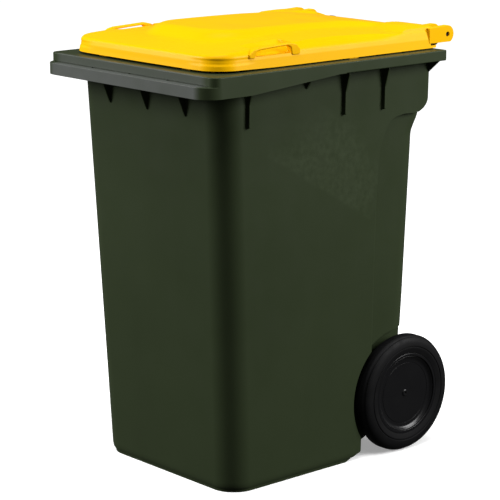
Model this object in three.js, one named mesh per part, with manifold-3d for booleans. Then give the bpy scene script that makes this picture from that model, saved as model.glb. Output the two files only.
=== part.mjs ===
// A large two-wheeled refuse bin with a hinged lid: a moulded body with a comb lip round its mouth,
// a domed lid on two pins, a steel axle through bearers under the body, and two rubber-tyred wheels
// that are held on the axle by sprung plungers inside their hubs.
//
// Millimetres. X is the width, -Y the front that the comb lip faces, +Z up from the ground.
// Every piece is drawn with Y = 0 at the back edge of the rim, and the whole bin is then moved so
// that the origin is under the middle of its bounding box.
import * as THREE from 'three';
import { mergeVertices } from 'three/addons/utils/BufferGeometryUtils.js';
import Module from 'manifold-3d';

const wasm = await Module();
wasm.setup();

// ---- driving dimensions -------------------------------------------------------------------------

const RIM = {
  top: 1020, halfWidth: 310, front: -752, back: 0, plate: 5, skirt: 5,
  cornerRadius: 22, sideBottom: 994,
};
const LIP = { front: -775, top: 998, bottom: 970, cornerRadius: 48, taperFront: -645, taperBack: -362 };
const OVERALL_FRONT = LIP.front;

const WALL = 5;
const BODY = {
  halfWidthBase: 249, halfWidthSlope: 0.0235,
  frontBase: -652, frontSlope: -0.049,
  cornerRadius: 62, backCornerRadius: 60,
  backLow: -57, backSlope: 0.03, backFlare: 22, flareFrom: 808, flareHeight: 60,
  upperBackRadius: 40,
  sideStepDepth: 13, sideStepY: -190,
  plinthHeight: 9, plinthInset: 5, baseRoundTop: 26,
};

const WHEEL = { radius: 150, y: -84, z: 150, inner: 227, width: 50 };
const WELL = { halfWidth: 212, radius: 167, ceiling: 318 };
const FLOOR_RAMP = [[-268, 0], [-238, 14], [-170, 40], [-142, 178], [-52, 196]];

const AXLE = { radius: 12.5, halfLength: 262, grooveRadius: 9.5, grooveFrom: 247.5, grooveTo: 256.5 };
const BEARER = { thickness: 12, centres: [206, 70], boss: 26 };

const LID = {
  halfWidth: 277, front: -719, bow: 4, back: 2, cornerRadius: 66, backCornerRadius: 12,
  bottom: 1023, wall: 3.5,
  frontEdge: 1059, backEdge: 1069, shoulderSlope: 0.085, frontSlope: 0.12, backSlope: 0.13,
};
// The raised middle of the lid: its plan, how steeply it falls to the shoulder, and its height
// along the lid.
const CROWN = { halfWidth: 141, front: -583, corner: 80, fall: 0.78 };
const CROWN_TOP = [[-760, 1091], [-583, 1093], [-440, 1095.5], [-300, 1097.5], [-230, 1096.5],
  [30, 1096]];
// Height of the lid's top along its side edges, from front to back.
const LID_SIDE_EDGE = [[-760, 1058], [-719, 1060], [-626, 1065], [-470, 1070.5], [-357, 1073],
  [-212, 1069.5], [-112, 1064], [30, 1062]];
// How far the lid's outline has drawn in at each height, which rounds its top edge.
const LID_DRAW_IN = [[1023, 0], [1045, 3], [1056, 7], [1064, 13], [1072, 22], [1110, 40]];
// Where the lid's roof is cut across and along into facets.
const LID_GRID_X = [-310, -277, -230, -178, -160, -144, -118, -84,
  84, 118, 144, 160, 178, 230, 277, 310];
const LID_GRID_Y = [-760, -721, -670, -614, -596, -578, -552, -510,
  -440, -357, -212, -188, -120, -60, 2, 30];
const HINGE = { y: 35, z: 1053, lugRadius: 22, knuckleRadius: 14, pinRadius: 6, clearance: 0.3 };
const LUG_OUTER = [260, 277];
const KNUCKLE = [232.3, 257.7];
const LUG_INNER = [214, 230];
const POD = { inner: 158, front: -122, top: 1083, brow: 215, outerTop: 1072, tailTo: 205 };
const HANDLE = { y: 31, z: 1039, radius: 13, earFrom: 128, earTo: 146, earTop: 1064 };

const GRIP = {
  scoopInner: 204, barInner: 261, barOuter: 276.5, front: -598, back: -486, recessBack: -470,
  sill: 1051, rampTop: 1077,
  grooveBottom: 1037, grooveTop: 1049, grooveDepth: 2.2, grooveFromX: 150, grooveBack: -612,
};

const RIB_THICKNESS = 5;
const RIB = { reach: 12, frontFoot: 884, longFoot: 886, shortFoot: 955 };
const FRONT_RIB_X = [-141, 0, 141];
const LONG_RIB_Y = [-619, -314, -182];
const SHORT_RIB_Y = -436;
const CHIP_NEST = { x: 214, y: -730, radius: 15, wall: 3, bottom: 976 };

const GAP = 0.3;
const ORIGIN_SHIFT = -(OVERALL_FRONT + WHEEL.y + WHEEL.radius) / 2;

// ---- materials ----------------------------------------------------------------------------------

const material = (color, roughness, metalness = 0) =>
  new THREE.MeshStandardMaterial({ color, roughness, metalness });
const GREEN = material(0x3a4330, 0.55);
const YELLOW = material(0xf7c600, 0.38);
const BLACK_PLASTIC = material(0x17181a, 0.45);
const RUBBER = material(0x121314, 0.75);
const STEEL = material(0xa9adb0, 0.35, 1);
const NYLON = material(0xd9d6cc, 0.5);

// ---- solid helpers ------------------------------------------------------------------------------

function solid(geometry) {
  const plain = geometry.clone();
  plain.deleteAttribute('normal');
  plain.deleteAttribute('uv');
  const merged = mergeVertices(plain, 1e-4);
  return new wasm.Manifold(new wasm.Mesh({
    numProp: 3,
    vertProperties: Float32Array.from(merged.attributes.position.array),
    triVerts: Uint32Array.from(merged.index.array),
  }));
}

function geometryOf(manifold) {
  const { numProp, vertProperties, triVerts } = manifold.getMesh();
  const positions = new Float32Array(vertProperties.length / numProp * 3);
  for (let i = 0; i < positions.length / 3; i += 1) {
    positions.set(vertProperties.subarray(i * numProp, i * numProp + 3), i * 3);
  }
  const geometry = new THREE.BufferGeometry();
  geometry.setAttribute('position', new THREE.BufferAttribute(positions, 3));
  geometry.setIndex(new THREE.BufferAttribute(Uint32Array.from(triVerts), 1));
  geometry.computeVertexNormals();
  return geometry;
}

const union = (...parts) => parts.reduce((whole, part) => whole.add(part));

function box([x0, x1], [y0, y1], [z0, z1]) {
  const geometry = new THREE.BoxGeometry(x1 - x0, y1 - y0, z1 - z0);
  geometry.translate((x0 + x1) / 2, (y0 + y1) / 2, (z0 + z1) / 2);
  return solid(geometry);
}

function polygon(points) {
  return new THREE.Shape(points.map(([u, v]) => new THREE.Vector2(u, v)));
}

function extrude(shape, depth, curveSegments = 4, steps = 1) {
  return new THREE.ExtrudeGeometry(shape, { depth, steps, curveSegments, bevelEnabled: false });
}

// An outline in plan, raised from z0 to z1.
function prismZ(shape, [z0, z1], curveSegments) {
  return solid(extrude(shape, z1 - z0, curveSegments).translate(0, 0, z0));
}

// An outline in the side view (Y across, Z up), drawn out along X.
function prismX(shape, [x0, x1], curveSegments) {
  const turn = new THREE.Matrix4().makeBasis(
    new THREE.Vector3(0, 1, 0), new THREE.Vector3(0, 0, 1), new THREE.Vector3(1, 0, 0));
  return solid(extrude(shape, x1 - x0, curveSegments).applyMatrix4(turn).translate(x0, 0, 0));
}

// An outline in the front view (X across, Z up), drawn out along Y.
function prismY(shape, [y0, y1], curveSegments) {
  const turn = new THREE.Matrix4().makeBasis(
    new THREE.Vector3(1, 0, 0), new THREE.Vector3(0, 0, 1), new THREE.Vector3(0, -1, 0));
  return solid(extrude(shape, y1 - y0, curveSegments).applyMatrix4(turn).translate(0, y1, 0));
}

// A round bar along X, from x0 to x1, centred at (y, z).
function barX(radius, [x0, x1], y, z, segments = 24) {
  const geometry = new THREE.CylinderGeometry(radius, radius, x1 - x0, segments);
  geometry.rotateZ(-Math.PI / 2);
  return solid(geometry.translate((x0 + x1) / 2, y, z));
}

function barZ(radius, x, y, [z0, z1], segments = 24) {
  const geometry = new THREE.CylinderGeometry(radius, radius, z1 - z0, segments);
  geometry.rotateX(Math.PI / 2);
  return solid(geometry.translate(x, y, (z0 + z1) / 2));
}

// A closed profile of [distance along X, radius] points, turned about the X axis.
function turnedX(profile, segments = 40) {
  const points = profile.map(([x, r]) => new THREE.Vector2(r, x));
  if (THREE.ShapeUtils.area(points) < 0) points.reverse();
  points.push(points[0].clone());
  const geometry = new THREE.LatheGeometry(points, segments);
  geometry.rotateZ(-Math.PI / 2);
  return solid(geometry);
}

const mirrorX = (manifold) => manifold.mirror([1, 0, 0]);
const bothSides = (manifold) => manifold.add(mirrorX(manifold));

function roundedOutline(halfWidth, front, back, frontRadius, backRadius) {
  const shape = new THREE.Shape();
  const quarter = Math.PI / 2;
  shape.absarc(halfWidth - frontRadius, front + frontRadius, frontRadius, -quarter, 0, false);
  shape.absarc(halfWidth - backRadius, back - backRadius, backRadius, 0, quarter, false);
  shape.absarc(-halfWidth + backRadius, back - backRadius, backRadius, quarter, 2 * quarter, false);
  shape.absarc(-halfWidth + frontRadius, front + frontRadius, frontRadius,
    2 * quarter, 3 * quarter, false);
  shape.closePath();
  return shape;
}

// A rounded box whose width, front and back follow functions of height.
function taperedBox({ halfWidth, front, back, frontRadius, backRadius, levels }) {
  const span = 400;
  const shape = roundedOutline(span, -2 * span, 0, frontRadius, backRadius);
  const geometry = extrude(shape, levels.length - 1, 4, levels.length - 1);
  const position = geometry.attributes.position;
  for (let i = 0; i < position.count; i += 1) {
    const z = levels[Math.round(position.getZ(i))];
    const x = position.getX(i);
    const y = position.getY(i);
    const frontHalf = y < -span;
    position.setXYZ(
      i,
      x + Math.sign(x) * (halfWidth(z) - span),
      frontHalf ? y + 2 * span + front(z) : y + back(z),
      z);
  }
  return solid(geometry);
}

// ---- bin body -----------------------------------------------------------------------------------

// How far the walls come in at the foot: a plinth, then a rounded edge up to the straight wall.
function baseInset(z) {
  if (z <= BODY.plinthHeight) return BODY.plinthInset;
  if (z >= BODY.baseRoundTop) return 0;
  const t = (BODY.baseRoundTop - z) / (BODY.baseRoundTop - BODY.plinthHeight);
  return (BODY.plinthInset - 2) * (1 - Math.sqrt(1 - t * t));
}

const smooth = (t) => {
  const c = Math.min(1, Math.max(0, t));
  return c * c * (3 - 2 * c);
};
const bodyHalfWidth = (z) => BODY.halfWidthBase + BODY.halfWidthSlope * z - baseInset(z);
const bodyFront = (z) => BODY.frontBase + BODY.frontSlope * z + baseInset(z);
const bodyLowBack = (z) => BODY.backLow + BODY.backSlope * z
  + BODY.backFlare * smooth((z - BODY.flareFrom) / BODY.flareHeight);

// The underside of the deep part of the body behind the mouth, from the side wall's step to the back.
const HOOD_CURVE = [[-190, 745], [-186, 775], [-180, 802], [-172, 826], [-162, 845], [-148, 858],
  [-130, 865], [-105, 867], [-75, 863], [-50, 862], [-36, 868], [-25, 876], [-15, 885], [-8, 892],
  [-3, 908], [0, 930]];

// The body's envelope, drawn in from its outer faces by inset.
function bodyEnvelope(inset, top) {
  const foot = inset;
  const fineFoot = inset > 0
    ? [foot, BODY.baseRoundTop]
    : [0, BODY.plinthHeight, BODY.plinthHeight + 0.5, 14, 19, BODY.baseRoundTop];
  const main = taperedBox({
    halfWidth: (z) => bodyHalfWidth(z) - inset,
    front: (z) => bodyFront(z) + inset,
    back: () => BODY.sideStepY - inset,
    frontRadius: BODY.cornerRadius - inset,
    backRadius: 1,
    levels: [...fineFoot, top],
  });
  const rear = taperedBox({
    halfWidth: (z) => bodyHalfWidth(z) - BODY.sideStepDepth - inset,
    front: () => BODY.sideStepY - 120,
    back: (z) => bodyLowBack(z) - inset,
    frontRadius: 1,
    backRadius: BODY.backCornerRadius - inset,
    levels: [foot, BODY.flareFrom, 820, 832, 844, 856, 868, 892],
  });
  const upper = taperedBox({
    halfWidth: (z) => bodyHalfWidth(z) - inset,
    front: () => BODY.sideStepY - 120,
    back: () => RIM.back - inset,
    frontRadius: 1,
    backRadius: BODY.upperBackRadius - inset,
    levels: [700, top],
  });
  const underside = HOOD_CURVE.map(([y, z]) => [y, z + inset * 1.2]);
  const lastZ = underside[underside.length - 1][1];
  const hood = prismX(polygon([[60, 1200], [-400, 1200], [-400, 700],
    [BODY.sideStepY - inset, 700], ...underside.slice(0, -1), [60, lastZ]]), [-400, 400]);
  return union(main, rear, upper.intersect(hood));
}

// Everything above the floor, which climbs behind the standing base to make room for the axle.
function aboveFloor(inset) {
  const ramp = FLOOR_RAMP.map(([y, z]) => [y - inset * 0.9, z + inset]);
  const [lastY, lastZ] = ramp[ramp.length - 1];
  return prismX(polygon([[-900, inset], ...ramp,
    [lastY + 300, lastZ + 3], [lastY + 300, 1300], [-900, 1300]]), [-400, 400]);
}

// The recess over one wheel, seen from the side, drawn out by grow.
function wheelWell(grow) {
  const round = barX(WELL.radius + grow, [WELL.halfWidth - grow, 400], WHEEL.y, WHEEL.z, 48);
  const behind = box([WELL.halfWidth - grow, 400], [WHEEL.y, 200], [-50, WELL.ceiling + grow]);
  const below = box([WELL.halfWidth - grow, 400],
    [WHEEL.y - WELL.radius + 12 - grow, 200], [-50, WHEEL.z]);
  return union(round, behind, below);
}

function rimAndLip() {
  const rimOutline = (inset) => roundedOutline(RIM.halfWidth - inset, RIM.front + inset,
    RIM.back - inset, RIM.cornerRadius - inset * 0.8, 6 - inset * 0.8);
  const lipOutline = (inset, back) => roundedOutline(RIM.halfWidth - inset, LIP.front + inset,
    back, LIP.cornerRadius - inset, 1);
  const upper = prismZ(rimOutline(0), [RIM.sideBottom, RIM.top]);
  const lower = prismZ(lipOutline(0, LIP.taperBack + 20), [LIP.bottom, LIP.top]);
  const taper = prismX(polygon([[-900, LIP.bottom - 40], [60, LIP.bottom - 40], [60, RIM.sideBottom],
    [LIP.taperBack, RIM.sideBottom], [LIP.taperFront, LIP.bottom], [-900, LIP.bottom]]), [-400, 400]);
  const upperHollow = prismZ(rimOutline(RIM.skirt), [LIP.bottom - 20, RIM.top - RIM.plate]);
  const lowerHollow = prismZ(lipOutline(RIM.skirt, LIP.taperBack + 60),
    [LIP.bottom - 20, LIP.top - RIM.plate]);
  return union(upper, lower.subtract(taper)).subtract(upperHollow).subtract(lowerHollow);
}

// Webs under the rim: three behind the lip at the front and five along each side.
function ribs() {
  const half = RIB_THICKNESS / 2;
  const wallY = bodyFront(940) + 3;
  const frontRib = (x) => prismX(polygon([
    [wallY, RIB.frontFoot], [wallY, 1016], [LIP.front + 3, 994],
    [LIP.front + 3, LIP.bottom + 6], [wallY - 30, LIP.bottom]]), [x - half, x + half]);
  const wallX = bodyHalfWidth(930) - 3;
  const outerX = RIM.halfWidth - 3;
  const longRib = (y) => prismY(polygon([
    [wallX, RIB.longFoot], [wallX + RIB.reach - 1, RIB.longFoot + 3], [wallX + RIB.reach, 938],
    [outerX, 986], [outerX, 1017], [wallX, 1017]]), [y - half, y + half]);
  const shortRib = prismY(polygon([
    [wallX, RIB.shortFoot], [outerX, 986], [outerX, 1017], [wallX, 1017]]),
  [SHORT_RIB_Y - half, SHORT_RIB_Y + half]);
  const endWeb = prismY(polygon([
    [wallX - 14, 952], [outerX - 2, 994], [outerX - 2, 1017], [wallX - 14, 1017]]), [-24, -19]);
  const side = union(...LONG_RIB_Y.map(longRib), shortRib, endWeb);
  return union(...FRONT_RIB_X.map(frontRib), bothSides(side));
}

// Two ears and a bar behind the mouth to pull the bin by, and the two knuckles that carry the lid.
function handleAndKnuckles() {
  const ear = prismX(polygon([[-26, 1016], [-4, 1016], [6, 1019], [HANDLE.y + 4, HANDLE.z - 14],
    [HANDLE.y + 14, HANDLE.z - 6], [HANDLE.y + 15, HANDLE.z + 14], [HANDLE.y + 8, HANDLE.earTop],
    [HANDLE.y - 4, HANDLE.earTop], [HANDLE.y - 14, HANDLE.z + 12], [-8, 1032]]),
  [HANDLE.earFrom, HANDLE.earTo]);
  const neck = prismX(polygon([[-40, 1016], [-6, 1016], [4, 1020], [HINGE.y + 2, HINGE.z - 13.5],
    [HINGE.y - 9, HINGE.z + 10.5], [-12, 1034]]), KNUCKLE);
  const knuckle = barX(HINGE.knuckleRadius, KNUCKLE, HINGE.y, HINGE.z, 32);
  const bar = barX(HANDLE.radius, [-HANDLE.earFrom - 4, HANDLE.earFrom + 4], HANDLE.y, HANDLE.z, 24);
  return union(bothSides(union(ear, neck, knuckle)), bar);
}

// Webs under the raised floor that carry the axle.
function axleBearers() {
  const web = (x) => prismX(polygon([[-150, 190], [-148, 166], [WHEEL.y - 24, WHEEL.z - 16],
    [WHEEL.y - 12, WHEEL.z - 24], [WHEEL.y + 12, WHEEL.z - 24], [WHEEL.y + 24, WHEEL.z - 12],
    [WHEEL.y + 27, WHEEL.z + 30], [-58, 200]]),
  [x - BEARER.thickness / 2, x + BEARER.thickness / 2]);
  return bothSides(union(...BEARER.centres.map(web)));
}

function chipNest() {
  const { x, y, radius, wall, bottom } = CHIP_NEST;
  return barZ(radius + wall, x, y, [bottom, RIM.top - 2], 32);
}

function binBody() {
  const outer = bodyEnvelope(0, RIM.top)
    .intersect(aboveFloor(0))
    .subtract(bothSides(wheelWell(0)));
  const inner = bodyEnvelope(WALL, RIM.top + 30)
    .intersect(aboveFloor(WALL))
    .subtract(bothSides(wheelWell(WALL)));
  const added = union(rimAndLip(), ribs(), axleBearers(), chipNest());
  const axleHole = barX(AXLE.radius + GAP, [-240, 240], WHEEL.y, WHEEL.z, 32);
  const pinHole = bothSides(barX(HINGE.pinRadius + HINGE.clearance, [205, 290], HINGE.y, HINGE.z, 24));
  const nestHole = barZ(CHIP_NEST.radius, CHIP_NEST.x, CHIP_NEST.y,
    [CHIP_NEST.bottom - 10, RIM.top - 8], 32);
  return union(outer, added)
    .subtract(inner)
    .add(handleAndKnuckles().subtract(inner))
    .subtract(axleHole)
    .subtract(pinHole)
    .subtract(nestHole);
}

function chipPlug() {
  const { x, y, radius, bottom } = CHIP_NEST;
  const cap = barZ(radius - GAP, x, y, [bottom + 1, bottom + 9], 32);
  const dish = barZ(radius - 4, x, y, [bottom, bottom + 3], 32);
  const slot = box([x - 8, x + 8], [y - 1.2, y + 1.2], [bottom, bottom + 5]);
  return cap.subtract(dish).subtract(slot);
}

// ---- lid ----------------------------------------------------------------------------------------

function lidOutline(inset) {
  const w = LID.halfWidth - inset;
  const f = LID.front + inset;
  const b = LID.back - inset;
  const r = LID.cornerRadius - inset;
  const rb = Math.max(2, LID.backCornerRadius - inset);
  const quarter = Math.PI / 2;
  const shape = new THREE.Shape();
  shape.moveTo(-w + r, f);
  shape.quadraticCurveTo(0, f - 2 * LID.bow, w - r, f);
  shape.absarc(w - r, f + r, r, -quarter, 0, false);
  shape.absarc(w - rb, b - rb, rb, 0, quarter, false);
  shape.absarc(-w + rb, b - rb, rb, quarter, 2 * quarter, false);
  shape.absarc(-w + r, f + r, r, 2 * quarter, 3 * quarter, false);
  return shape;
}

function alongLine(points, at) {
  const next = points.findIndex(([u]) => u >= at);
  if (next <= 0) return next === 0 ? points[0][1] : points[points.length - 1][1];
  const [u0, v0] = points[next - 1];
  const [u1, v1] = points[next];
  return v0 + (v1 - v0) * (at - u0) / (u1 - u0);
}

// Height of the lid's outer face: a gently rising shoulder round a raised, flat-topped crown.
function lidRoof(x, y) {
  const shoulder = Math.min(
    alongLine(LID_SIDE_EDGE, y) + LID.shoulderSlope * (LID.halfWidth - Math.abs(x)),
    LID.frontEdge + LID.frontSlope * (y - LID.front));
  const beside = Math.max(0, Math.abs(x) - CROWN.halfWidth + CROWN.corner);
  const before = Math.max(0, CROWN.front + CROWN.corner - y);
  const outside = Math.max(0, Math.hypot(beside, before) - CROWN.corner);
  const crown = alongLine(CROWN_TOP, y) - CROWN.fall * outside;
  const rear = LID.backEdge + LID.backSlope * (LID.back - y);
  return Math.min(rear, Math.max(shoulder, crown));
}

// The lid's envelope: its plan outline, drawn in slightly as it rises, under the roof.
function lidEnvelope(inset, bottom) {
  const plan = extrude(lidOutline(inset), LID_DRAW_IN.length - 1, 4, LID_DRAW_IN.length - 1);
  const planPosition = plan.attributes.position;
  for (let i = 0; i < planPosition.count; i += 1) {
    const [level, drawIn] = LID_DRAW_IN[Math.round(planPosition.getZ(i))];
    const x = planPosition.getX(i);
    const y = planPosition.getY(i);
    const atFront = y < LID.front / 2;
    const drawn = atFront ? drawIn : drawIn * 0.25;
    planPosition.setXYZ(i, x * (1 - drawn / LID.halfWidth), atFront ? y + drawn : y,
      level === LID.bottom ? bottom : level);
  }
  const roof = new THREE.BoxGeometry(1, 1, 1, LID_GRID_X.length - 1, LID_GRID_Y.length - 1, 1);
  const position = roof.attributes.position;
  for (let i = 0; i < position.count; i += 1) {
    const x = LID_GRID_X[Math.round((position.getX(i) + 0.5) * (LID_GRID_X.length - 1))];
    const y = LID_GRID_Y[Math.round((position.getY(i) + 0.5) * (LID_GRID_Y.length - 1))];
    position.setXYZ(i, x, y, position.getZ(i) > 0 ? lidRoof(x, y) - inset : 900);
  }
  return solid(plan).intersect(solid(roof));
}

// The raised housing at one back corner of the lid, from its front slope to its back wall.
function hingePod(inset, bottom) {
  const rear = LID.back - inset;
  const top = POD.top - inset;
  const side = prismX(polygon([
    [POD.front, bottom], [POD.front, top - 19], [POD.front + 26, top - 3], [POD.front + 50, top],
    [-42, top - 2], [-14, top - 5.5], [rear, top - 9], [rear, bottom]]),
  [POD.inner + inset, LID.halfWidth - inset]);
  const across = prismY(polygon([[POD.inner - 5, bottom], [LID.halfWidth + 5, bottom],
    [LID.halfWidth + 5, POD.outerTop - 1 - inset], [LID.halfWidth, POD.outerTop - inset],
    [POD.brow, top + 1], [POD.inner - 5, top + 1]]), [POD.front - 5, LID.back + 5]);
  return side.intersect(across);
}

// The hump's tail, a short hood between the lid's back edge and the hinge pin's head.
function podTail() {
  const { inner, tailTo } = POD;
  const hood = prismX(polygon([
    [-30, 1046], [-30, 1078], [-14, 1076.5], [12, 1071], [30, 1065],
    [36, 1058], [36, 1050], [2, 1046]]), [inner + 2, tailTo]);
  const hollow = prismX(polygon([
    [-40, 1040], [-40, 1074], [-15, 1073], [11, 1067.5], [28, 1062],
    [32.5, 1057], [32.5, 1040]]), [inner + 2 + LID.wall, tailTo - LID.wall]);
  return hood.subtract(hollow);
}

function lug([x0, x1]) {
  const disc = barX(HINGE.lugRadius, [x0, x1], HINGE.y, HINGE.z, 36);
  const arm = prismX(polygon([
    [-30, 1034.5], [HINGE.y - 4, HINGE.z - 21.6], [HINGE.y + 3, HINGE.z + 21.8],
    [-14, POD.outerTop + 1], [-30, POD.outerTop]]), [x0, x1]);
  return disc.add(arm);
}

// A groove under the edge that runs round each front corner, and a scoop behind the lifting bar.
function gripCuts() {
  const grooveRing = prismZ(lidOutline(-6), [GRIP.grooveBottom, GRIP.grooveTop], 4)
    .subtract(prismZ(lidOutline(GRIP.grooveDepth), [GRIP.grooveBottom - 1, GRIP.grooveTop + 1], 4))
    .intersect(box([GRIP.grooveFromX, 400], [-900, GRIP.grooveBack], [900, 1200]));
  const scoop = prismY(polygon([[GRIP.scoopInner, GRIP.rampTop], [GRIP.barInner - 3, GRIP.sill],
    [400, GRIP.sill], [400, 1200], [GRIP.scoopInner, 1200]]), [GRIP.front, GRIP.back]);
  const recess = prismY(polygon([
    [GRIP.scoopInner, GRIP.rampTop], [GRIP.barInner - 3, GRIP.sill],
    [GRIP.barInner - 3, 1200], [GRIP.scoopInner, 1200]]), [GRIP.back - 1, GRIP.recessBack]);
  return union(grooveRing, scoop, recess);
}

function gripBacking() {
  const ring = prismZ(lidOutline(-6), [GRIP.grooveBottom - LID.wall, GRIP.grooveTop + LID.wall], 4)
    .subtract(prismZ(lidOutline(GRIP.grooveDepth + LID.wall), [900, 1200], 4))
    .intersect(box([GRIP.grooveFromX - LID.wall, 400], [-900, GRIP.grooveBack + LID.wall], [900, 1200]));
  const floor = GRIP.sill - LID.wall;
  const inner = GRIP.scoopInner - 2 * LID.wall;
  const pocket = prismY(polygon([[inner, GRIP.rampTop], [GRIP.barInner - 5, floor], [400, floor],
    [400, 1200], [inner, 1200]]), [GRIP.front - LID.wall, GRIP.recessBack + LID.wall]);
  return union(ring, pocket);
}

// The thin bar that bridges the scoop, for lifting the lid.
function gripBar() {
  const { front, back, sill } = GRIP;
  return prismX(polygon([
    [front - 18, sill - 2], [front - 4, sill - 2], [front + 3, sill + 7], [front + 14, sill + 10],
    [back - 12, sill + 13], [back - 3, sill + 10], [back, sill - 2], [back + 26, sill - 2],
    [back + 25, sill + 9], [back + 13, sill + 17], [back - 6, sill + 19],
    [front + 10, sill + 15], [front - 4, sill + 12], [front - 18, sill + 7]]),
  [GRIP.barInner, GRIP.barOuter]);
}

function lid() {
  const shell = union(lidEnvelope(0, LID.bottom), bothSides(hingePod(0, LID.bottom + 11)));
  const podHollow = bothSides(hingePod(LID.wall, LID.bottom - 20))
    .intersect(prismZ(lidOutline(LID.wall), [900, 1200], 4));
  const hollow = union(lidEnvelope(LID.wall, LID.bottom - 20), podHollow)
    .subtract(bothSides(gripBacking()));
  const lugs = bothSides(union(lug(LUG_OUTER), lug(LUG_INNER)));
  // The back wall is open where the body's knuckles and ears pass under the lid.
  const passage = ([x0, x1]) => box([x0, x1], [-60, 60], [900, 1066]);
  const knuckleRoom = bothSides(box([LUG_INNER[1], LUG_OUTER[0]], [LID.back - 4, 80], [900, 1200]));
  const passages = bothSides(union(
    passage([LUG_INNER[1], LUG_OUTER[0]]),
    passage([HANDLE.earFrom - 6, HANDLE.earTo + 6])));
  const backOpening = box([-LUG_INNER[0], LUG_INNER[0]], [-8, 60], [900, 1032]);
  const sideSlot = bothSides(box([LUG_OUTER[0] - 20, 400], [-24, 80], [1029, 1034]));
  const stops = bothSides(union(
    box([140, 170], [LID.front + 1, LID.front + 8], [RIM.top + GAP, LID.bottom + 8]),
    box([LID.halfWidth - 8, LID.halfWidth - 1], [-300, -270], [RIM.top + GAP, LID.bottom + 8])));
  const pinHole = bothSides(barX(HINGE.pinRadius + HINGE.clearance, [200, 300], HINGE.y, HINGE.z, 24));
  return union(shell, lugs)
    .subtract(hollow)
    .add(bothSides(union(lug(LUG_OUTER), lug(LUG_INNER), podTail())))
    .add(stops)
    .subtract(bothSides(gripCuts()))
    .add(bothSides(gripBar()))
    .subtract(passages)
    .subtract(knuckleRoom)
    .subtract(backOpening)
    .subtract(sideSlot)
    .subtract(pinHole);
}

function lidPin() {
  const shank = barX(HINGE.pinRadius, [LUG_INNER[0] - 2, LUG_OUTER[1] - 4], 0, 0, 24);
  const head = barX(10, [LUG_INNER[0] - 6, LUG_INNER[0] - GAP], 0, 0, 24);
  return shank.add(head);
}

// ---- wheel, drawn about the X axis with the outer side towards +X -------------------------------

const WHEEL_FACETS = 36;
const RIM_SEAT = 104;
const HUB = { boss: 24, bossInner: 219, bossOuter: 261, webInner: 239, webOuter: 245, ringInner: 97 };
const BUSH = { outer: 16.7, from: 219.3, to: 243 };
const LOCK = {
  x: 252, bore: 4.4, tip: 10, shank: 4, collar: 5.8, collarFrom: 26.4, collarTo: 29,
  chamber: 6.3, chamberFrom: 26, towerRadius: 8.8, towerTop: 46, capFrom: 41.5,
  springTurns: 4, springWire: 0.65, springRadius: 4.6,
};

function tyre() {
  const a = WHEEL.inner;
  const b = WHEEL.inner + WHEEL.width;
  const r = WHEEL.radius;
  return turnedX([
    [a + 3, RIM_SEAT + GAP], [a + 19, RIM_SEAT + GAP], [a + 21, RIM_SEAT + 3 + GAP],
    [a + 29, RIM_SEAT + 3 + GAP], [a + 31, RIM_SEAT + GAP], [b - 3, RIM_SEAT + GAP],
    [b, 116], [b - 0.6, 131], [b - 6, 144],
    [b - 17, r], [a + 17, r], [a + 6, 144], [a + 0.6, 131], [a, 116]], WHEEL_FACETS);
}

function wheelRim() {
  const a = WHEEL.inner + 3;
  const b = WHEEL.inner + WHEEL.width - 3;
  const ring = turnedX([
    [a, HUB.ringInner], [b, HUB.ringInner], [b, RIM_SEAT],
    [a + 28, RIM_SEAT], [a + 26, RIM_SEAT + 3], [a + 18, RIM_SEAT + 3], [a + 16, RIM_SEAT],
    [a, RIM_SEAT]], WHEEL_FACETS);
  const web = turnedX([[HUB.webInner, 10], [HUB.webOuter, 10], [HUB.webOuter, HUB.ringInner + 2],
    [HUB.webInner, HUB.ringInner + 2]], WHEEL_FACETS);
  const boss = turnedX([[HUB.bossInner, 8], [HUB.bossOuter, 8], [HUB.bossOuter, HUB.boss],
    [HUB.bossInner, HUB.boss]], 32);
  const spokes = [0, 1, 2, 3, 4, 5].map((i) => {
    const angle = Math.PI / 6 + i * Math.PI / 3;
    return box([HUB.webInner - 7, HUB.webInner + 1], [-3, 3], [HUB.boss - 4, HUB.ringInner + 2])
      .rotate([angle * 180 / Math.PI, 0, 0]);
  });
  const tower = barZ(LOCK.towerRadius, LOCK.x, 0, [HUB.boss - 8, LOCK.towerTop], 24);
  const bore = turnedX([[HUB.bossInner - 5, 0], [BUSH.to + GAP, 0], [BUSH.to + GAP, BUSH.outer + GAP],
    [HUB.bossInner - 5, BUSH.outer + GAP]], 32);
  const axleBore = barX(AXLE.radius + GAP, [HUB.bossInner, HUB.bossOuter + 10], 0, 0, 32);
  const plungerBore = barZ(LOCK.bore, LOCK.x, 0, [6, LOCK.towerTop], 20);
  const chamber = barZ(LOCK.chamber, LOCK.x, 0, [LOCK.chamberFrom, LOCK.towerTop + 5], 24);
  return union(ring, web, boss, tower, ...spokes)
    .subtract(bore)
    .subtract(axleBore)
    .subtract(plungerBore)
    .subtract(chamber);
}

function wheelBush() {
  const inner = AXLE.radius + GAP;
  return turnedX([
    [BUSH.from, inner], [BUSH.to, inner], [BUSH.to, BUSH.outer], [BUSH.from, BUSH.outer]], 32);
}

function hubCover() {
  const edge = HUB.ringInner - GAP;
  const face = 266;
  return turnedX([
    [face - 3, 0], [face - 3, 90], [face - 12, 92.5], [face - 12, edge], [face + 5.5, edge],
    [face + 3.5, edge - 3.5], [face, 87], [face, 8], [face + 2.5, 5.5],
    [face + 2.5, 2], [face + 0.5, 2], [face + 0.5, 0]], WHEEL_FACETS);
}

function lockPlunger() {
  const tip = barZ(LOCK.shank, LOCK.x, 0, [LOCK.tip, LOCK.collarFrom + 0.5], 16);
  const collar = barZ(LOCK.collar, LOCK.x, 0, [LOCK.collarFrom, LOCK.collarTo], 20);
  return tip.add(collar);
}

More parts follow.
